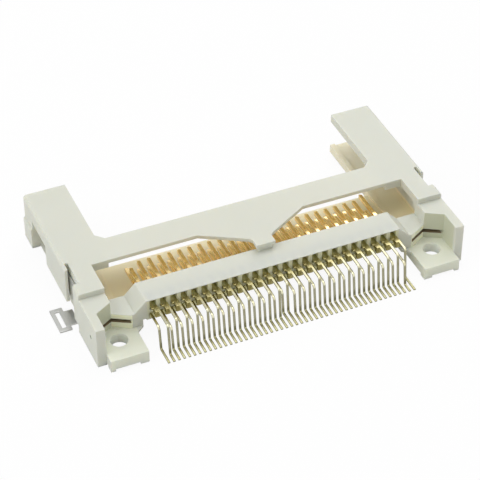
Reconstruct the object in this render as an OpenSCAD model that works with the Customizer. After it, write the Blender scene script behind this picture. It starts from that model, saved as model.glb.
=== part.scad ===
// Shrouded header for a 50 way memory card, with side arms that guide the card.
// Millimetres. The origin lies on the board plane, midway between the two screw holes.
// The card slides in from the rear, +Y, and the leads run forward, -Y, to the board.

/* [Card bay] */
// Width of the card
card_w = 42.8; // [42:0.1:46]
// Thickness of the card
card_t = 3.3; // [3:0.1:4]
// Clearance between the card and each side wall
card_side_gap = 0.1; // [0.05:0.05:0.3]
// Clearance between the card and the rail below it or the roof above it
card_face_gap = 0.175; // [0.1:0.025:0.3]
// Height of the guide ribs above the board
rail_z = 1.38; // [1.2:0.02:1.6]
// Height of the guide ribs above the floor beside them
rib_h = 0.25; // [0.1:0.05:0.4]
// Width of each guide rib
rib_w = 0.7; // [0.4:0.1:1.2]
// Gap between the board and the underside of the floor
standoff = 0.3; // [0.2:0.05:0.5]

/* [Arms] */
// Thickness of the roof over each arm
roof_t = 1.12; // [0.8:0.02:1.6]
// Thickness of the side walls
wall_t = 1.65; // [1.4:0.05:2]
// Width of each arm
arm_w = 5.3; // [4.6:0.1:6]
// Distance from the screw holes back to the rear ends of the arms
arm_rear = 23.86; // [22:0.1:28]
// Height of the lower edge of the side walls
skirt_z = 1.35; // [1.2:0.05:1.6]
// Width of the bevel along the outer top edges
edge_bevel = 0.25; // [0.1:0.05:0.4]
// Length of the rear foot under each arm
foot_len = 2.8; // [2:0.1:4]
// Length of the opening in the side wall in front of the rear foot
side_gap_len = 5.05; // [3:0.05:6]
// Height of the upper edge of that opening
side_gap_z = 4.2; // [3:0.1:4.5]
// Height of the ledge on the outer face of the rear foot
foot_ledge_z = 2.8; // [2:0.1:3.5]
// How far that ledge stands out from the side wall
foot_ledge_out = 0.2; // [0.1:0.05:0.4]

/* [Crossbar] */
// Distance from the screw holes to the front edge of the crossbar
bar_front = 8.51; // [8:0.1:9.5]
// Depth of the crossbar from front to rear
bar_d = 3.87; // [3:0.01:5]
// Thickness of the crossbar and its tab
bar_t = 0.5; // [0.4:0.05:0.8]
// Size of the bevel where the crossbar meets an arm
bar_bevel = 1; // [0.4:0.1:1.6]
// Half width of the tab where it leaves the crossbar
tab_root = 6.8; // [5:0.1:9]
// Half width of the tab where its slanted sides end
tab_end = 1.5; // [1.2:0.1:2.5]
// Length of the slanted part of the tab
tab_len = 3; // [2.5:0.1:3.2]
// Half width of the neck in front of the slanted part
neck_half = 1.2; // [0.9:0.1:1.4]
// Length of that neck
neck_len = 1.55; // [1.2:0.05:2]
// Length of the bevel between the slanted part and the neck
neck_bevel = 0.4; // [0.2:0.05:0.6]
// Width of the web that joins the neck to the pin block
web_w = 1.8; // [1.2:0.1:2]
// Depth of that web from front to rear
web_d = 0.6; // [0.4:0.05:0.9]
// How far the floor reaches behind the crossbar
floor_past = 0.53; // [0.2:0.01:1]

/* [Pin block] */
// Distance from the screw holes to the front face of the pin block
block_front = 1.26; // [1:0.02:1.4]
// Depth of the pin block from front to rear
block_d = 3.5; // [3.2:0.1:3.8]
// Width of the pin block beyond the centre of the last column
block_end = 0.86; // [0.7:0.02:1]
// Height of the ramps that join the pin block to the corners
ramp_z = 3.6; // [3.2:0.1:4]
// Run of the slope at each end of the pin block
end_slope = 1.4; // [1:0.1:1.6]
// Width of the comb pockets
pocket_w = 0.8; // [0.75:0.01:0.86]
// Depth of the comb pockets
pocket_d = 1.5; // [1:0.1:2]
// Thickness of the lip above the upper pockets
lip_t = 0.13; // [0.1:0.01:0.3]
// Thickness of the lip below the lower pockets
sill_t = 0.13; // [0.1:0.01:0.3]
// Height of the lower edge of the front face beyond the ends of the block
end_z = 2.4; // [2.2:0.05:2.6]
// Depth of the recess under the front face
recess_d = 1; // [0.6:0.1:1.2]
// Height of the underside behind that recess
under_z = 1.5; // [1.3:0.05:1.7]
// Thickness of the web that stands on the floor under the rear of the block
rear_web_t = 1.2; // [0.8:0.1:1.6]

/* [Contacts] */
// Pitch of the columns, and distance between the two rows
pitch = 1.27; // [1.2:0.01:1.3]
// Side of the square pins
pin_w = 0.44; // [0.4:0.01:0.5]
// Clearance round each pin in its bore and in front of its shoulder
pin_fit = 0.02; // [0.01:0.01:0.05]
// Reach of the general pins behind the pin block
pin_reach = 4.85; // [4.5:0.05:5.2]
// Extra length of the pins that mate first
early_len = 0.7; // [0.4:0.1:1]
// Length that the pins that mate last are short of the others
late_len = 0.85; // [0.5:0.05:1.2]
// Length of the bevelled tip of a pin
tip_len = 0.35; // [0.2:0.05:0.5]
// Width of the leads and their tails
lead_w = 0.28; // [0.24:0.02:0.34]
// Thickness of the leads
lead_t = 0.17; // [0.14:0.01:0.22]
// Width of the deep shoulder of an upper contact in front of the pin block
shoulder_w = 0.6; // [0.5:0.02:0.62]
// Length of that shoulder
shoulder_len = 1.12; // [1:0.04:1.4]
// Height of that shoulder at the pin block
shoulder_h = 0.35; // [0.3:0.05:0.6]
// Height of that shoulder at its front end
shoulder_front_h = 0.9; // [0.7:0.05:0.95]
// How far the wide plate behind that shoulder reaches in front of the pin block
plate_out = 0.4; // [0.2:0.05:0.6]
// Height of the upper leads above the centre of their pins
upper_rise = 0.22; // [0.1:0.02:0.3]
// Height of the lower leads above the centre of their pins
lower_rise = 0.48; // [0.3:0.02:0.5]
// Distance from the screw holes forward to the top of the legs
leg_top = 1.9; // [1.6:0.05:2.1]
// Distance from the screw holes forward to the heels
heel = 2.33; // [2.15:0.05:2.6]
// Distance from the screw holes forward to the tips of the tails
tail_tip = 4.24; // [4:0.05:5]
// Inner radius of the upper bend in an upper lead
upper_bend = 0.16; // [0.1:0.02:0.24]
// Inner radius of the upper bend in a lower lead
lower_bend = 0.4; // [0.3:0.05:0.5]
// Inner radius at the heels
heel_bend = 0.12; // [0.08:0.02:0.2]
// How far the first, middle and last legs stand behind the others
leg_back = 0.6; // [0.2:0.1:0.8]
// How far the second legs from each end stand in front of the others
leg_forward = 0.62; // [0.2:0.02:0.8]

/* [Screw ears] */
// Diameter of the screw holes
hole_d = 2.1; // [2:0.1:2.4]
// Distance from the side face in to the centre of the screw hole
hole_in = 3.2; // [3.1:0.05:3.3]
// Width across the flats of the hexagonal nut pocket
nut_af = 4.15; // [4.05:0.05:4.2]
// Height of the top of the ears above the board
ear_z = 1.62; // [1.5:0.02:1.8]
// Distance from the screw holes forward to the front of the ears
ear_front = 3.04; // [2.6:0.02:3.4]
// Distance from the screw hole in to the inner edge of the ear
ear_in = 2.5; // [2.3:0.1:2.6]
// How far the ear reaches out beyond the nut pocket
ear_past = 0.05; // [0.02:0.01:0.2]
// Distance from the screw hole in to the root of the ear at the pin block
ear_root = 3.45; // [3.2:0.05:3.6]
// Height of the underside of that root
root_z = 1.3; // [1.1:0.05:1.4]
// Length of the root in front of the pin block
root_len = 0.8; // [0.4:0.1:1.2]
// Length of the small feet under the ears
ear_foot = 1; // [0.6:0.1:1.2]
// Width of the inner foot under each ear
inner_foot = 1.06; // [0.8:0.02:1.2]
// Width of the outer foot under each ear
outer_foot = 0.6; // [0.4:0.05:0.8]
// Height of the lower edge of the slot round the nut pocket
slot_z = 2.4; // [2.2:0.05:2.7]
// Height of that slot
slot_h = 0.5; // [0.3:0.05:0.6]
// Depth of that slot
slot_d = 1; // [0.4:0.1:1.2]

/* [Corners] */
// Height of the top of the corners above the board
corner_z = 5.4; // [5.2:0.05:5.8]
// Distance from the screw holes back to the step up to the roof
step_y = 4.11; // [3.8:0.05:4.4]
// Distance from the screw holes forward to the front ends of the side walls
wall_front = 1.64; // [1.2:0.02:2.2]
// Height of the undercut behind the front feet of the side walls
undercut_h = 1.05; // [0.8:0.05:1.2]
// Diameter of the round dimple in the outer face of each corner
dimple_d = 0.5; // [0.3:0.1:0.7]
// Depth of that dimple
dimple_deep = 0.3; // [0.1:0.05:0.5]
// Height of that dimple
dimple_z = 2.96; // [2.5:0.02:3.5]
// Distance of that dimple behind the screw hole
dimple_y = 0.38; // [0:0.02:1]

/* [Side clips] */
// Length of the open notch for the clip
notch_len = 2.7; // [2.4:0.1:3]
// Distance of the notch behind the rear face of the pin block
notch_back = 1.3; // [1.2:0.05:1.6]
// Depth of the notch into the side wall
notch_d = 0.8; // [0.7:0.05:1]
// Length of the thin slot behind the notch
clip_slot_len = 1.17; // [0.8:0.01:1.4]
// Width of that slot
clip_slot_w = 0.4; // [0.3:0.05:0.5]
// Thickness of the clip
clip_t = 0.25; // [0.2:0.01:0.28]
// Clearance of the clip in its notch
clip_fit = 0.04; // [0.02:0.01:0.08]
// Height of the top of the clip
clip_z = 5; // [4:0.1:5.5]
// Height of the narrow lower part of the clip's leg
clip_neck_z = 2.3; // [1.6:0.1:3]
// Width of the narrow lower part of the clip's leg
clip_neck_w = 1.4; // [1:0.1:2]
// How far the clip's tab reaches out from the side face
clip_out = 2.05; // [1.6:0.05:2.6]
// Width of the outer part of the clip's tab
clip_w = 3.95; // [3.4:0.05:4.5]
// How far the outer part reaches in front of the notch
clip_lead = 0.7; // [0.4:0.05:1]
// Distance from the side face out to that wider part
clip_step = 0.55; // [0.3:0.05:0.8]
// Width of the inner part of the clip's tab
clip_inner_w = 2.46; // [1.6:0.02:2.6]
// Width of the slot in the clip's tab
tab_slot_w = 0.55; // [0.4:0.05:0.8]
// Length of that slot
tab_slot_len = 2.9; // [2:0.1:3.1]
// Width of the rim outside that slot
tab_rim = 0.45; // [0.3:0.05:0.6]
// Width of the flange at the top of the clip's leg
hook_w = 0.5; // [0.3:0.05:0.8]
// How far that flange stays inside the side face
hook_in = 0.1; // [0.05:0.05:0.3]

/* [Hidden] */
columns = 25;
ways = 2 * columns;
middle_column = (columns + 1) / 2;

$fn = 48;
past = 1; // how far a cut runs past the face that it opens
bend_steps = 4;

bay_half = card_w / 2 + card_side_gap;
side_x = bay_half + wall_t;
arm_x = side_x - arm_w;
roof_z = rail_z + card_t + 2 * card_face_gap;
top_z = roof_z + roof_t;
floor_z = rail_z - rib_h;
hole_x = side_x - hole_in;
bar_rear = bar_front + bar_d;
bar_z = top_z - bar_t;
floor_rear = bar_rear + floor_past;
foot_front = arm_rear - foot_len;
tab_front = bar_front - tab_len;

last_x = (columns - 1) / 2 * pitch;
block_x = last_x + block_end;
block_rear = block_front + block_d;
recess_y = block_front + recess_d;
web_y = block_rear - rear_web_t;
slope_x = block_x + end_slope;

row_mid = rail_z + card_face_gap + card_t / 2;
upper_z = row_mid + pitch / 2;
lower_z = row_mid - pitch / 2;
pocket_y = block_front + pocket_d;
upper_floor = upper_z - pin_w / 2 - pin_fit;
lower_floor = lower_z - pin_w / 2 - pin_fit;
face_z = lower_floor - sill_t;
upper_top = upper_z + upper_rise + lead_t / 2;
lower_top = lower_z + lower_rise + lead_t / 2;
lead_x = pitch / 4; // from the centre of a column to the middle of each of its leads
shoulder_x = lead_x + lead_w / 2;
shoulder_y = block_front - pin_fit;
tail_z = lead_t / 2;

nut_r = nut_af / sqrt(3);
inner_x = hole_x - nut_af / 2;
outer_x = hole_x + nut_af / 2;
ear_x = hole_x - ear_in;
ear_out_x = outer_x + ear_past;
root_x = hole_x - ear_root;
skirt_x = side_x - notch_d;
notch_front = block_rear + notch_back;
notch_rear = notch_front + notch_len;

plastic = "#d9dad1";
gold = "#c9b173";
steel = "#c8c9c8";

// A rectangular block between two opposite corners
module block(low, high) {
    translate(low) cube(high - low);
}

module both_sides() {
    children();
    mirror([1, 0, 0]) children();
}

// An outline in X and Z, drawn out along Y
module along_y(y0, y1) {
    translate([0, y1, 0]) rotate([90, 0, 0]) linear_extrude(y1 - y0) children();
}

// An outline in Y and Z, drawn out along X
module along_x(x0, x1) {
    translate([x0, 0, 0]) rotate([90, 0, 90]) linear_extrude(x1 - x0) children();
}

// Section of one arm: side wall, roof, floor and guide rib round the edge of the card
module arm_section() {
    polygon([
        [arm_x, standoff], [skirt_x, standoff], [skirt_x, skirt_z], [side_x, skirt_z],
        [side_x, top_z - edge_bevel], [side_x - edge_bevel, top_z], [arm_x, top_z],
        [arm_x, roof_z], [bay_half, roof_z], [bay_half, floor_z],
        [arm_x + rib_w, floor_z], [arm_x + rib_w, rail_z], [arm_x, rail_z]
    ]);
}

// The foot at the rear end of an arm, with a ledge on its outer face
module rear_foot() {
    along_y(foot_front, arm_rear) polygon([
        [bay_half, 0], [side_x + foot_ledge_out, 0], [side_x + foot_ledge_out, foot_ledge_z],
        [side_x, foot_ledge_z + foot_ledge_out], [side_x, side_gap_z + past],
        [bay_half, side_gap_z + past]
    ]);
}

module arm() {
    difference() {
        along_y(block_rear, arm_rear) arm_section();
        block([bay_half, foot_front - side_gap_len, skirt_z - past],
              [side_x + past, foot_front, side_gap_z]);
        // the window between the pin block and the crossbar
        block([arm_x - past, block_rear - past, roof_z - past / 2],
              [hole_x, bar_front, top_z + past]);
    }
    rear_foot();
}

// Thin bar between the arms, with a tapered tab and a neck that reaches over the pin block
module crossbar() {
    translate([0, 0, bar_z]) linear_extrude(bar_t) {
        both_sides() polygon([
            [0, bar_rear], [arm_x - bar_bevel, bar_rear], [arm_x, bar_rear + bar_bevel],
            [arm_x + past, bar_rear + bar_bevel], [arm_x + past, bar_front],
            [tab_root, bar_front], [tab_end, tab_front], [neck_half, tab_front - neck_bevel],
            [neck_half, tab_front - neck_len], [0, tab_front - neck_len]
        ]);
    }
    block([-web_w / 2, block_rear - web_d, roof_z - past],
          [web_w / 2, block_rear, top_z - bar_t / 2]);
}

// The block that holds the pins: a deep upper part, set back below in two steps
module pin_block() {
    along_x(-block_x, block_x) block_section(face_z, roof_z);
    along_x(-ear_x, ear_x) block_section(end_z, ramp_z);
    both_sides() along_y(block_front, block_rear) polygon([
        [block_x - past, end_z], [block_x - past, roof_z], [block_x, roof_z],
        [slope_x, ramp_z], [slope_x, end_z]
    ]);
}

module block_section(front_z, top) {
    polygon([
        [block_front, front_z], [block_front, top], [block_rear, top],
        [block_rear, standoff], [web_y, standoff], [web_y, under_z],
        [recess_y, under_z], [recess_y, front_z]
    ]);
}

// Pockets in the front face and square bores behind them, one for each contact.
// The lower pockets reach to the left, where the lower leads come out.
module contact_cuts() {
    lower_x = -shoulder_x - pin_fit;
    for (column = [1 : columns]) translate([column_x(column), 0, 0]) {
        block([-pocket_w / 2, block_front - past, upper_floor],
              [pocket_w / 2, pocket_y, roof_z - lip_t]);
        block([lower_x, block_front - past, lower_floor],
              [lower_x + pocket_w, pocket_y, lower_top + pin_fit]);
        for (z = [upper_z, lower_z])
            along_y(block_front, block_rear + past) translate([0, z])
                square(pin_w + 2 * pin_fit, center = true);
    }
}

// Corner with the front end of the side wall, a ramp to the pin block and the screw ear
module corner() {
    // ramp level, from the pin block to the side wall
    translate([0, 0, root_z]) linear_extrude(ramp_z - root_z)
        polygon([
            [root_x, block_front],
            [hole_x - (nut_r - block_front) * sqrt(3), block_front], [hole_x, nut_r],
            [outer_x, nut_r / 2], [outer_x, block_rear], [root_x, block_rear]
        ]);
    // the higher outer part, up to the step
    translate([0, 0, standoff]) linear_extrude(corner_z - standoff)
        polygon([
            [hole_x, nut_r], [outer_x, nut_r / 2], [outer_x, -wall_front],
            [side_x, -wall_front], [side_x, block_rear], [hole_x, block_rear]
        ]);
    // the side wall stands on the board, with an undercut behind its foot
    block([outer_x, -wall_front, 0], [side_x, block_rear, standoff + past]);
    along_y(step_y, block_rear + past / 2) polygon([
        [hole_x, corner_z - past], [side_x, corner_z - past],
        [side_x, top_z - edge_bevel], [side_x - edge_bevel, top_z], [hole_x, top_z]
    ]);
    block([bay_half, block_rear - past, undercut_h], [side_x, notch_front, roof_z]);
    // the ear under the nut pocket, with a small foot at each front corner
    block([ear_x, -ear_front, standoff], [ear_out_x, block_rear, ear_z]);
    translate([0, 0, root_z]) linear_extrude(ear_z - root_z) polygon([
        [root_x, block_front], [ear_x, block_front - root_len], [ear_x + past, block_front - root_len],
        [ear_x + past, block_rear], [root_x, block_rear]
    ]);
    block([ear_x, -ear_front, 0], [ear_x + inner_foot, ear_foot - ear_front, ear_z]);
    block([ear_out_x - outer_foot, -ear_front, 0], [ear_out_x, ear_foot - ear_front, ear_z]);
}

module corner_cuts() {
    // room for the outermost leads beside the ears
    block([0, -ear_front - past, -past], [last_x + pitch / 2, block_front, top_z + past]);
    translate([hole_x, 0, -past]) cylinder(d = hole_d, h = ear_z + 2 * past);
    // the slot round the two rear sides of the nut pocket
    intersection() {
        translate([hole_x, 0, slot_z]) rotate([0, 0, 30])
            cylinder(r = nut_r + slot_d * 2 / sqrt(3), h = slot_h, $fn = 6);
        block([inner_x, 0, 0], [outer_x, block_rear, top_z]);
    }
    translate([side_x - dimple_deep, dimple_y, dimple_z]) rotate([0, 90, 0])
        cylinder(d = dimple_d, h = dimple_deep + past, $fn = 16);
    // the notch and the thin slot that hold the clip
    block([skirt_x, notch_front, -past], [side_x + past, notch_rear, top_z + past]);
    block([skirt_x, notch_rear - past, -past],
          [skirt_x + clip_slot_w, notch_rear + clip_slot_len, top_z + past]);
}

module housing() {
    color(plastic) difference() {
        union() {
            pin_block();
            crossbar();
            block([-arm_x - past, web_y, standoff], [arm_x + past, floor_rear, floor_z]);
            both_sides() {
                arm();
                corner();
            }
        }
        contact_cuts();
        both_sides() corner_cuts();
    }
}

function column_x(column) = (column - middle_column) * pitch;
function unit(v) = v / norm(v);

// Points round a bend at b with centreline radius r, coming from a and leaving for c
function bend(a, b, c, r) =
    let (u = unit(b - a), w = unit(c - b),
         turn = atan2(u.x * w.y - u.y * w.x, u * w),
         side = sign(turn),
         centre = b - r * tan(abs(turn) / 2) * u + side * r * [-u.y, u.x])
    [for (i = [0 : bend_steps]) let (s = turn * i / bend_steps)
        centre + side * r * [u.y * cos(s) + u.x * sin(s), u.y * sin(s) - u.x * cos(s)]];

// Points at distance d to the left of a path
function beside(path, d) =
    [for (i = [0 : len(path) - 1])
        let (last = len(path) - 1,
             before = unit(path[max(i, 1)] - path[max(i, 1) - 1]),
             after = unit(path[min(i, last - 1) + 1] - path[min(i, last - 1)]),
             mid = unit(before + after))
        path[i] + d / (mid * after) * [-mid.y, mid.x]];

function reversed(list) = [for (i = [len(list) - 1 : -1 : 0]) list[i]];
function strip(path, t) = concat(beside(path, t / 2), reversed(beside(path, -t / 2)));

// Pins at the outer ends of the rows and in the middle column mate first,
// and the two that sense the card mate last
function reach(n) =
    n == 1 || n == ways || ceil(n / 2) == middle_column ? pin_reach + early_len
    : n == 2 || n == ways - 1 ? pin_reach - late_len
    : pin_reach;

// Legs near the ends and in the middle are formed behind or in front of the others
function leg_shift(n) =
    n == 1 || n == ways || n == columns || n == columns + 1 ? leg_back
    : n == 2 || n == ways - 1 ? -leg_forward
    : 0;

// Square pin with a bevelled tip, on the line x = 0 at height z
module pin(z, tip) {
    half = pin_w / 2;
    point = half / 3;
    intersection() {
        along_x(-half, half) polygon([
            [shoulder_y, z - half], [tip - tip_len, z - half], [tip, z - point],
            [tip, z + point], [tip - tip_len, z + half], [shoulder_y, z + half]
        ]);
        linear_extrude(top_z) polygon([
            [-half, shoulder_y], [half, shoulder_y], [half, tip - tip_len], [point, tip],
            [-point, tip], [-half, tip - tip_len]
        ]);
    }
}

// One contact: pin, body in the pocket, leg and tail.
// Upper contacts lead down on the right of their column, lower ones on the left.
module contact(n) {
    upper = n % 2 == 0;
    z = upper ? upper_z : lower_z;
    lead_top = upper ? upper_top : lower_top;
    lead_z = lead_top - lead_t / 2;
    inner = upper ? upper_bend : lower_bend;
    top = [leg_shift(n) - leg_top, lead_z];
    foot = [leg_shift(n) - heel, tail_z];
    start = [shoulder_y, lead_z];
    end = [-tail_tip, tail_z];
    path = concat([start], bend(start, top, foot, inner + lead_t / 2),
                  bend(top, foot, end, heel_bend + lead_t / 2), [end]);
    color(gold) translate([column_x(ceil(n / 2)), 0, 0]) mirror([upper ? 0 : 1, 0, 0]) {
        pin(z, block_rear + reach(n));
        block([-pin_w / 2, shoulder_y, z - pin_w / 2],
              [upper ? pin_w / 2 : shoulder_x, pocket_y - pin_fit, lead_top]);
        if (upper) shoulder();
        along_x(shoulder_x - lead_w, shoulder_x) polygon(strip(path, lead_t));
    }
}

// Front of an upper contact: a wide plate out of the pocket, and a shoulder that gets
// deeper towards its front end, where the lead leaves it
module shoulder() {
    half = pocket_w / 2 - pin_fit;
    end_y = shoulder_y - shoulder_len;
    block([-half, shoulder_y - plate_out, upper_top - lead_t], [half, pocket_y - pin_fit, upper_top]);
    along_x(shoulder_x - shoulder_w, shoulder_x) polygon([
        [shoulder_y, upper_top - shoulder_h], [shoulder_y, upper_top],
        [end_y, upper_top], [end_y, upper_top - shoulder_front_h]
    ]);
}

// Solder clip: a leg in the notch of the side wall and a slotted tab on the board
module clip() {
    face = skirt_x + clip_fit;
    front = notch_front + clip_fit;
    rear = notch_rear + clip_slot_len - clip_fit;
    step_x = side_x + clip_step;
    tab_x = side_x + clip_out;
    front_y = notch_front - clip_lead;
    slot_x = tab_x - tab_rim;
    slot_y = front_y + (clip_w - tab_slot_len) / 2;
    color(steel) {
        along_x(face, face + clip_t) polygon([
            [front, 0], [front + clip_neck_w, 0], [front + clip_neck_w, clip_neck_z],
            [rear, clip_neck_z], [rear, clip_z], [front, clip_z]
        ]);
        block([face, front, clip_z - clip_t], [side_x - hook_in, front + hook_w, clip_z]);
        difference() {
            linear_extrude(clip_t) polygon([
                [face, front], [step_x, front], [step_x, front_y], [tab_x, front_y],
                [tab_x, front_y + clip_w], [step_x, front_y + clip_w],
                [step_x, front + clip_inner_w], [face + clip_t, front + clip_inner_w],
                [face + clip_t, front + clip_neck_w], [face, front + clip_neck_w]
            ]);
            block([slot_x - tab_slot_w, slot_y, -past],
                  [slot_x, slot_y + tab_slot_len, clip_t + past]);
        }
    }
}

housing();
for (n = [1 : ways])
    contact(n);
mirror([1, 0, 0]) clip();  // clip_left
clip();  // clip_right
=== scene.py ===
import math

import bmesh
import bpy
import numpy as np
from mathutils import Matrix, Vector


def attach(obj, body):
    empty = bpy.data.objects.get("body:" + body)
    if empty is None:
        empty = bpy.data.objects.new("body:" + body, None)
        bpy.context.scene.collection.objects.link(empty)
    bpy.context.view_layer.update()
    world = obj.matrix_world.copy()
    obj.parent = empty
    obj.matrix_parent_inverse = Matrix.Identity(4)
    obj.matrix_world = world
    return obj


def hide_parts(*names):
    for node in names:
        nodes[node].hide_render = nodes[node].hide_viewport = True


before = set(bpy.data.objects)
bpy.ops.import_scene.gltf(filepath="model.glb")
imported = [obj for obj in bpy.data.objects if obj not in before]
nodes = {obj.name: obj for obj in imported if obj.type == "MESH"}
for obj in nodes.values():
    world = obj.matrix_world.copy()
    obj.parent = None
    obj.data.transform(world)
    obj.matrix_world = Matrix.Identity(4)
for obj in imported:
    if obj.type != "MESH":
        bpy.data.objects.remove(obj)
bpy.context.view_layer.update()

mm = 0.001
print("frame loaded:", len(nodes), "CAD pieces")


# shared shader groups

# links a socket to another node's output, or sets it to a number or a colour
def feed(tree, socket, value):
    if hasattr(value, "is_output"):
        tree.links.new(value, socket)
    else:
        socket.default_value = (*value, 1) if isinstance(value, tuple) else value


def newGroup(name, inputs, outputs):
    group = bpy.data.node_groups.new(name, "ShaderNodeTree")
    for label, kind in inputs:
        group.interface.new_socket(label, in_out="INPUT", socket_type="NodeSocket" + kind)
    for label, kind in outputs:
        group.interface.new_socket(label, in_out="OUTPUT", socket_type="NodeSocket" + kind)
    ends = group.nodes.new("NodeGroupInput"), group.nodes.new("NodeGroupOutput")
    return group, ends[0].outputs, ends[1].inputs


def placeGroup(tree, group, values):
    node = tree.nodes.new("ShaderNodeGroup")
    node.node_tree = group
    for label, value in values.items():
        feed(tree, node.inputs[label], value)
    return node.outputs


def noiseNode(tree, place, scale, detail, roughness):
    noise = tree.nodes.new("ShaderNodeTexNoise")
    for label, value in (("Vector", place), ("Scale", scale), ("Detail", detail),
                         ("Roughness", roughness)):
        feed(tree, noise.inputs[label], value)
    return noise.outputs["Fac"]


def mathNode(tree, operation, a, b=None, clamp=False):
    node = tree.nodes.new("ShaderNodeMath")
    node.operation = operation
    node.use_clamp = clamp
    feed(tree, node.inputs[0], a)
    if b is not None:
        feed(tree, node.inputs[1], b)
    return node.outputs[0]


# a smooth step from lowTo at low to highTo at high
def rangeNode(tree, value, low, high, lowTo, highTo):
    node = tree.nodes.new("ShaderNodeMapRange")
    node.interpolation_type = "SMOOTHSTEP"
    for label, number in (("Value", value), ("From Min", low), ("From Max", high),
                          ("To Min", lowTo), ("To Max", highTo)):
        feed(tree, node.inputs[label], number)
    return node.outputs["Result"]


# sockets of the Mix node by number, because colours and values share their names
mixSockets = {"RGBA": (0, 6, 7, 2), "FLOAT": (0, 2, 3, 0)}


def mixNode(tree, kind, factor, a, b, blend="MIX"):
    node = tree.nodes.new("ShaderNodeMix")
    node.data_type = kind
    node.blend_type = blend
    *given, made = mixSockets[kind]
    for number, value in zip(given, (factor, a, b)):
        feed(tree, node.inputs[number], value)
    return node.outputs[made]


grain = {
    "detail": 3.0,
    "roughness": 0.6,
    "patchRoughness": 0.5,
    "patchEdge": (0.35, 0.7),   # noise below the first has no patch, above the second all of it
    "middle": 0.5,
}


# fine surface grain with broad, faint patches of colour: noise at two scales
def makeGrain():
    group, given, made = newGroup(
        "surfaceGrain",
        [("Color", "Color"), ("Patch Color", "Color"), ("Patch Scale", "Float"),
         ("Patch Amount", "Float"), ("Grain Scale", "Float"), ("Roughness", "Float"),
         ("Roughness Spread", "Float")],
        [("Color", "Color"), ("Roughness", "Float"), ("Height", "Float")])
    place = group.nodes.new("ShaderNodeTexCoord").outputs["Object"]
    broad = noiseNode(group, place, given["Patch Scale"], grain["detail"], grain["patchRoughness"])
    fine = noiseNode(group, place, given["Grain Scale"], grain["detail"], grain["roughness"])
    patch = rangeNode(group, broad, *grain["patchEdge"], 0.0, 1.0)
    amount = mathNode(group, "MULTIPLY", patch, given["Patch Amount"])
    color = mixNode(group, "RGBA", amount, given["Color"], given["Patch Color"])
    spread = mathNode(group, "MULTIPLY", mathNode(group, "SUBTRACT", fine, grain["middle"]),
                      given["Roughness Spread"])
    group.links.new(color, made["Color"])
    group.links.new(mathNode(group, "ADD", given["Roughness"], spread, True), made["Roughness"])
    group.links.new(fine, made["Height"])
    return group


def objectAxes(group):
    parts = group.nodes.new("ShaderNodeSeparateXYZ")
    place = group.nodes.new("ShaderNodeTexCoord").outputs["Object"]
    group.links.new(place, parts.inputs[0])
    return parts.outputs


boxLimits = ("Inside", "Outside", "Front", "Rear", "Bottom", "Top")


# mask of the surfaces inside a box and its mirror image, 1 inside and 0 beyond its soft faces
def makeBoxMask():
    group, given, made = newGroup(
        "boxMask", [(label, "Float") for label in (*boxLimits, "Soft")], [("Mask", "Float")])
    axes = objectAxes(group)
    places = mathNode(group, "ABSOLUTE", axes["X"]), axes["Y"], axes["Z"]
    mask = 1.0
    for place, low, high in zip(places, boxLimits[::2], boxLimits[1::2]):
        start = mathNode(group, "SUBTRACT", given[low], given["Soft"])
        end = mathNode(group, "ADD", given[high], given["Soft"])
        rise = rangeNode(group, place, start, given[low], 0.0, 1.0)
        fall = rangeNode(group, place, given[high], end, 1.0, 0.0)
        mask = mathNode(group, "MULTIPLY", mathNode(group, "MULTIPLY", rise, fall), mask)
    group.links.new(mask, made["Mask"])
    return group


# how far along Y a point lies between two places, from 0 at the first to 1 at the second
def makeAlong():
    group, given, made = newGroup(
        "alongDepth", [("From", "Float"), ("To", "Float")], [("Fraction", "Float")])
    along = rangeNode(group, objectAxes(group)["Y"], given["From"], given["To"], 0.0, 1.0)
    group.links.new(along, made["Fraction"])
    return group


grainGroup = makeGrain()
boxGroup = makeBoxMask()
alongGroup = makeAlong()


# materials

def newMaterial(name):
    material = bpy.data.materials.new(name)
    material.use_nodes = True
    return material, material.node_tree, material.node_tree.nodes["Principled BSDF"]


def alongDepth(tree, start, end):
    return placeGroup(tree, alongGroup, {"From": start, "To": end})["Fraction"]


# how much of a box's colour a point takes, less towards its rear where the box fades
def boxAmount(tree, box):
    limits = {label: limit * mm for label, limit in
              zip((*boxLimits, "Soft"), (*box["x"], *box["y"], *box["z"], box["soft"]))}
    mask = placeGroup(tree, boxGroup, limits)["Mask"]
    amount = mathNode(tree, "MULTIPLY", mask, box["amount"])
    if "fade" in box:
        start, end = box["fade"]
        lost = mathNode(tree, "MULTIPLY", alongDepth(tree, start * mm, end * mm), box["fadeShare"])
        amount = mathNode(tree, "MULTIPLY", amount, mathNode(tree, "SUBTRACT", 1.0, lost))
    return amount


# colour, roughness and the grain's bump
def addSurface(tree, shader, look, color, patch, roughness):
    surface = placeGroup(tree, grainGroup, {
        "Color": color, "Patch Color": patch, "Patch Scale": look["patchScale"],
        "Patch Amount": look["patchAmount"], "Grain Scale": look["grainScale"],
        "Roughness": roughness, "Roughness Spread": look["roughnessSpread"]})
    bump = tree.nodes.new("ShaderNodeBump")
    bump.inputs["Distance"].default_value = look["bumpHeight"]
    tree.links.new(surface["Height"], bump.inputs["Height"])
    tree.links.new(surface["Color"], shader.inputs["Base Color"])
    tree.links.new(surface["Roughness"], shader.inputs["Roughness"])
    tree.links.new(bump.outputs["Normal"], shader.inputs["Normal"])


# moulded ivory plastic

plastic = {
    "color": (0.675, 0.685, 0.605),
    "patchColor": (0.650, 0.665, 0.590),
    "patchScale": 110.0,
    "patchAmount": 0.5,
    "grainScale": 7000.0,
    "roughness": 0.42,
    "roughnessSpread": 0.12,
    "bumpHeight": 0.004 * mm,
    "refraction": 1.5,
    "specular": 0.25,
    "scatter": 0.4,
    "scatterDepth": (1.0, 0.85, 0.6),
    "scatterScale": 1.2 * mm,
}

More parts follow.
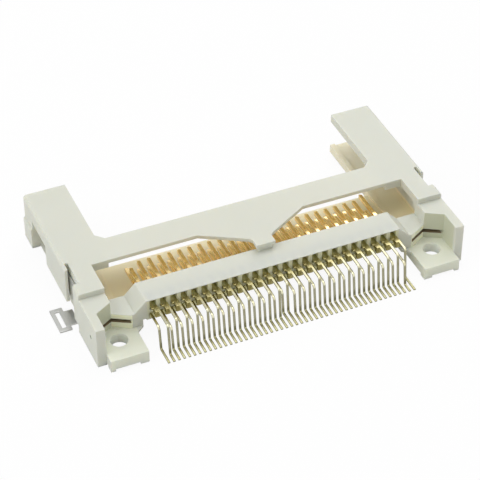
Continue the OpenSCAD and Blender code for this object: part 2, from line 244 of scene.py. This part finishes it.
# painted light and shade on the plastic: a box and its mirror image in mm, with x from the middle
# outwards, how soft its faces are, and where along y the colour fades
paintedLightAndShade = {
    # bayFloor: painted bounced light, a warm tan glow on the bay floor from the gold pins, fading
    # towards the rear
    "bayFloor": {"color": (0.97, 0.84, 0.56), "amount": 0.95, "x": (-1, 21.4), "y": (4.9, 30),
                 "z": (-1, 1.42), "soft": 0.3, "fade": (8, 19), "fadeShare": 0.5},
    # combFront: painted reflected light, an olive cast on the comb front from the gold contacts
    "combFront": {"color": (0.70, 0.70, 0.50), "amount": 0.9, "x": (-1, 15.9), "y": (-1, 3),
                  "z": (1, 4.85), "soft": 0.12},
    # ear: painted light, lighter ear tops where the corner block shades them
    "ear": {"color": (0.763, 0.781, 0.659), "amount": 1.0, "x": (17.4, 22.0), "y": (-4, 2.5),
            "z": (-1, 1.64), "soft": 0.03},
    # nutPocketInner: painted light, lighter inner walls of the nut pocket
    "nutPocketInner": {"color": (0.95, 0.96, 0.70), "amount": 0.9, "x": (17.8, 19.95),
                       "y": (-1.2, 2.42), "z": (1.68, 3.54), "soft": 0.03},
    # nutPocketOuter: painted shade, darker outer walls of the nut pocket
    "nutPocketOuter": {"color": (0.58, 0.60, 0.44), "amount": 0.8, "x": (19.98, 22.05),
                       "y": (-1.2, 2.42), "z": (1.68, 5.3), "soft": 0.03},
    # nutSlot: painted shade, dark inside the nut slot
    "nutSlot": {"color": (0.28, 0.21, 0.12), "amount": 0.9, "x": (17.9, 21.95),
                "y": (0.4, 3.7), "z": (2.4, 2.9), "soft": 0.01},
    # screwHole: painted light, lighter walls inside the screw hole
    "screwHole": {"color": (0.88, 0.90, 0.82), "amount": 0.9, "x": (18.88, 21.02),
                  "y": (-1.07, 1.07), "z": (-1, 1.55), "soft": 0.03},
    # dimple: painted shade, a dark spot for the shade of a deeper dimple
    "dimple": {"color": (0.26, 0.27, 0.22), "amount": 0.9, "x": (22.8, 23.11),
               "y": (0.1, 0.66), "z": (2.68, 3.24), "soft": 0.02},
}


def makePlastic():
    material, tree, shader = newMaterial("ivoryPlastic")
    color, patch = plastic["color"], plastic["patchColor"]
    # mixes each box's painted light or shade into the plastic's colour
    for box in paintedLightAndShade.values():
        amount = boxAmount(tree, box)
        color = mixNode(tree, "RGBA", amount, color, box["color"])
        patch = mixNode(tree, "RGBA", amount, patch, box["color"])
    addSurface(tree, shader, plastic, color, patch, plastic["roughness"])
    for label, name in (("IOR", "refraction"), ("Specular IOR Level", "specular"),
                        ("Subsurface Weight", "scatter"), ("Subsurface Radius", "scatterDepth"),
                        ("Subsurface Scale", "scatterScale")):
        shader.inputs[label].default_value = plastic[name]
    return material


# plated contacts, from the front: pale leads, tan shoulders, gold pins

contact = {
    "leadColor": (0.475, 0.46, 0.33),
    "shoulderColor": (0.45, 0.41, 0.22),
    "pinColor": (1.0, 0.77, 0.38),
    "shoulderEdge": (-0.6 * mm, 0.1 * mm),  # where along Y the leads turn into the shoulders
    "pinEdge": (3.0 * mm, 4.6 * mm),        # and the shoulders into the pins
    "patchTint": (0.85, 0.78, 0.66),
    "patchScale": 900.0,
    "patchAmount": 0.5,
    "grainScale": 12000.0,
    "roughness": 0.24,
    "pinRoughness": 0.10,
    "roughnessSpread": 0.15,
    "bumpHeight": 0.0015 * mm,
}

# painted shade on the metal, in boxes of the same form
paintedMetalShade = {
    # tails: painted shade, darker tails for the dim surroundings they mirror
    "tails": {"color": (0.28, 0.27, 0.155), "amount": 1.0, "x": (-1, 17), "y": (-6, -1.5),
              "z": (-1, 0.5), "soft": 0.7},
    # underShoulder: painted shade under the shoulders of the upper contacts
    "underShoulder": {"color": (0.42, 0.37, 0.15), "amount": 0.9, "x": (-1, 17),
                      "y": (0, 1.3), "z": (1, 4.1), "soft": 0.06},
    # pocket: painted shade on the metal inside the pockets
    "pocket": {"color": (0.58, 0.57, 0.36), "amount": 0.9, "x": (-1, 17), "y": (1.3, 3),
               "z": (1, 5), "soft": 0.2},
}


def makeGold():
    material, tree, shader = newMaterial("goldPlating")
    toShoulder = alongDepth(tree, *contact["shoulderEdge"])
    toPin = alongDepth(tree, *contact["pinEdge"])
    color = mixNode(tree, "RGBA", toShoulder, contact["leadColor"], contact["shoulderColor"])
    color = mixNode(tree, "RGBA", toPin, color, contact["pinColor"])
    # mixes each box's painted shade into the plating's colour
    for box in paintedMetalShade.values():
        color = mixNode(tree, "RGBA", boxAmount(tree, box), color, box["color"])
    patch = mixNode(tree, "RGBA", 1.0, color, contact["patchTint"], "MULTIPLY")
    roughness = mixNode(tree, "FLOAT", toPin, contact["roughness"], contact["pinRoughness"])
    addSurface(tree, shader, contact, color, patch, roughness)
    shader.inputs["Metallic"].default_value = 1.0
    return material


# stamped steel clips

clip = {
    "color": (0.59, 0.59, 0.58),
    "patchColor": (0.49, 0.49, 0.48),
    "patchScale": 500.0,
    "patchAmount": 0.4,
    "grainScale": 9000.0,
    "roughness": 0.34,
    "roughnessSpread": 0.2,
    "bumpHeight": 0.002 * mm,
}


def makeSteel():
    material, tree, shader = newMaterial("clipSteel")
    addSurface(tree, shader, clip, clip["color"], clip["patchColor"], clip["roughness"])
    shader.inputs["Metallic"].default_value = 1.0
    return material


# rounded pieces that stand for the CAD nodes

rounding = {
    "housing": 0.04 * mm,
    "contact": 0.03 * mm,
    "clip": 0.03 * mm,
    "segments": 2,
    "sharpAngle": math.radians(30),
    "shortShare": 0.45,         # share of a short edge that the roundings at its ends may take
    "flatAngle": math.radians(0.6),
    "weldDistance": 0.0008 * mm,
    "faceWeight": 100,          # how far the larger faces set the normals at an edge
}


# weight of each sharp edge's rounding, less where it meets an edge too short for the whole width
def weighEdges(work, width):
    layer = work.edges.layers.float.new("bevel_weight_edge")
    sharp = {edge for edge in work.edges if edge.calc_face_angle(0) > rounding["sharpAngle"]}
    straight = math.cos(rounding["sharpAngle"])
    for edge in sharp:
        weight = 1.0
        for vert in edge.verts:
            along = (edge.other_vert(vert).co - vert.co).normalized()
            for other in vert.link_edges:
                if other is edge or other not in sharp:
                    continue
                aside = other.other_vert(vert).co - vert.co
                if abs(along.dot(aside.normalized())) < straight:
                    weight = min(weight, rounding["shortShare"] * aside.length / width)
        edge[layer] = weight


# a welded copy of a CAD node, with its flat faces joined up and its edges rounded
def roundedCopy(nodeName, pieceName, slot, material):
    mesh = nodes[nodeName].data.copy()
    mesh.name = pieceName
    work = bmesh.new()
    work.from_mesh(mesh)
    bmesh.ops.remove_doubles(work, verts=work.verts, dist=rounding["weldDistance"])
    bmesh.ops.dissolve_limit(
        work, angle_limit=rounding["flatAngle"], verts=work.verts, edges=work.edges)
    weighEdges(work, rounding[slot])
    work.to_mesh(mesh)
    work.free()
    mesh.polygons.foreach_set("use_smooth", np.ones(len(mesh.polygons), bool))
    mesh.materials.clear()
    mesh.materials.append(material)
    piece = bpy.data.objects.new(pieceName, mesh)
    bpy.context.scene.collection.objects.link(piece)
    bevel = piece.modifiers.new("rounded edges", "BEVEL")
    bevel.limit_method = "WEIGHT"
    bevel.width = rounding[slot]
    bevel.segments = rounding["segments"]
    bevel.use_clamp_overlap = False
    bevel.loop_slide = False
    normals = piece.modifiers.new("flat faces", "WEIGHTED_NORMAL")
    normals.weight = rounding["faceWeight"]
    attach(piece, "root")
    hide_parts(nodeName)


plasticMaterial = makePlastic()
goldMaterial = makeGold()
steelMaterial = makeSteel()

roundedCopy("housing", "mouldedHousing", "housing", plasticMaterial)
print("housing dressed")

for name in sorted(nodes):
    if name.startswith("contact_"):
        roundedCopy(name, name.replace("contact_", "platedContact."), "contact", goldMaterial)
print("contacts dressed")

for side in ("left", "right"):
    roundedCopy("clip_" + side, "solderClip." + side, "clip", steelMaterial)
print("clips dressed")


# floor, light and camera

stage = {
    "floorSize": 3.0,
    "floorColor": (0.90, 0.90, 0.90),
    "floorRoughness": 0.9,
    "floorGlow": 0.93,                      # share of plain white in what the camera sees of it
    "floorMirrored": (0.72, 0.72, 0.68),    # what the metal mirrors of it
    "worldColor": (1.0, 1.0, 1.0),
    "worldStrength": 0.47,
    "skyFront": 1.7,            # what the metal mirrors of the sky in front and above
    "skyBack": 0.86,            # and behind
    "skyTurn": (0.15, 0.60),    # between these parts of +Y in the direction
}

lamps = {
    "topLamp": {"size": 0.4, "power": 1.07, "place": (0.08, 0.10, 0.58)},
    "rearLamp": {"size": 0.25, "power": 0.49, "place": (0.30, 0.34, 0.36)},
    "leftLamp": {"size": 0.45, "power": 1.3, "place": (-0.45, 0.02, 0.39)},
}


def makeFloor():
    half = stage["floorSize"] / 2
    corners = [(-half, -half, 0), (half, -half, 0), (half, half, 0), (-half, half, 0)]
    mesh = bpy.data.meshes.new("whiteFloor")
    mesh.from_pydata(corners, [], [(0, 1, 2, 3)])
    floor = bpy.data.objects.new("whiteFloor", mesh)
    bpy.context.scene.collection.objects.link(floor)
    material, tree, shader = newMaterial("whiteFloor")
    feed(tree, shader.inputs["Base Color"], stage["floorColor"])
    shader.inputs["Roughness"].default_value = stage["floorRoughness"]
    shader.inputs["Specular IOR Level"].default_value = 0.0
    path = tree.nodes.new("ShaderNodeLightPath")
    surface = shader.outputs[0]
    for ray, share, color in (("Is Glossy Ray", 1.0, stage["floorMirrored"]),
                              ("Is Camera Ray", stage["floorGlow"], stage["worldColor"])):
        glow = tree.nodes.new("ShaderNodeEmission")
        feed(tree, glow.inputs["Color"], color)
        mix = tree.nodes.new("ShaderNodeMixShader")
        amount = mathNode(tree, "MULTIPLY", path.outputs[ray], share)
        for number, value in enumerate((amount, surface, glow.outputs[0])):
            tree.links.new(value, mix.inputs[number])
        surface = mix.outputs[0]
    tree.links.new(surface, tree.nodes["Material Output"].inputs["Surface"])
    mesh.materials.append(material)


def makeWorld():
    world = bpy.data.worlds.new("studio")
    bpy.context.scene.world = world
    world.use_nodes = True
    tree = world.node_tree
    background = tree.nodes["Background"]
    feed(tree, background.inputs["Color"], stage["worldColor"])
    direction = tree.nodes.new("ShaderNodeSeparateXYZ")
    sight = tree.nodes.new("ShaderNodeTexCoord").outputs["Generated"]
    tree.links.new(sight, direction.inputs[0])
    sky = rangeNode(tree, direction.outputs["Y"], *stage["skyTurn"],
                    stage["skyFront"], stage["skyBack"])
    path = tree.nodes.new("ShaderNodeLightPath")
    strength = stage["worldStrength"]
    for ray, seen in (("Is Glossy Ray", sky), ("Is Camera Ray", 1.0)):
        strength = mixNode(tree, "FLOAT", path.outputs[ray], strength, seen)
    tree.links.new(strength, background.inputs["Strength"])


def makeLamp(name):
    light = bpy.data.lights.new(name, "AREA")
    light.size = lamps[name]["size"]
    light.energy = lamps[name]["power"]
    lamp = bpy.data.objects.new(name, light)
    bpy.context.scene.collection.objects.link(lamp)
    lamp.location = lamps[name]["place"]
    lamp.rotation_euler = (-lamp.location).to_track_quat("-Z", "Y").to_euler()


view = {
    "place": (-66.395 * mm, -143.037 * mm, 141.564 * mm),
    "right": (0.91785, -0.396913, -0.003375),
    "down": (-0.257052, -0.587902, -0.767004),
    "ahead": (0.30245, 0.704862, -0.641633),
    "focalPixels": 1811.12,
    "imagePixels": 480,
    "sensor": 36.0,             # mm
    "clip": (0.01, 10.0),       # m
}


def makeCamera():
    lens = bpy.data.cameras.new("camera")
    lens.sensor_width = view["sensor"]
    lens.lens = view["sensor"] * view["focalPixels"] / view["imagePixels"]
    lens.clip_start, lens.clip_end = view["clip"]
    camera = bpy.data.objects.new("camera", lens)
    bpy.context.scene.collection.objects.link(camera)
    rows = Vector(view["right"]), -Vector(view["down"]), -Vector(view["ahead"])
    turn = Matrix(rows).transposed().to_4x4()
    camera.matrix_world = Matrix.Translation(view["place"]) @ turn
    bpy.context.scene.camera = camera


makeFloor()
makeWorld()
for name in lamps:
    makeLamp(name)
makeCamera()
bpy.context.scene.view_settings.view_transform = "Standard"
print("stage and camera set")
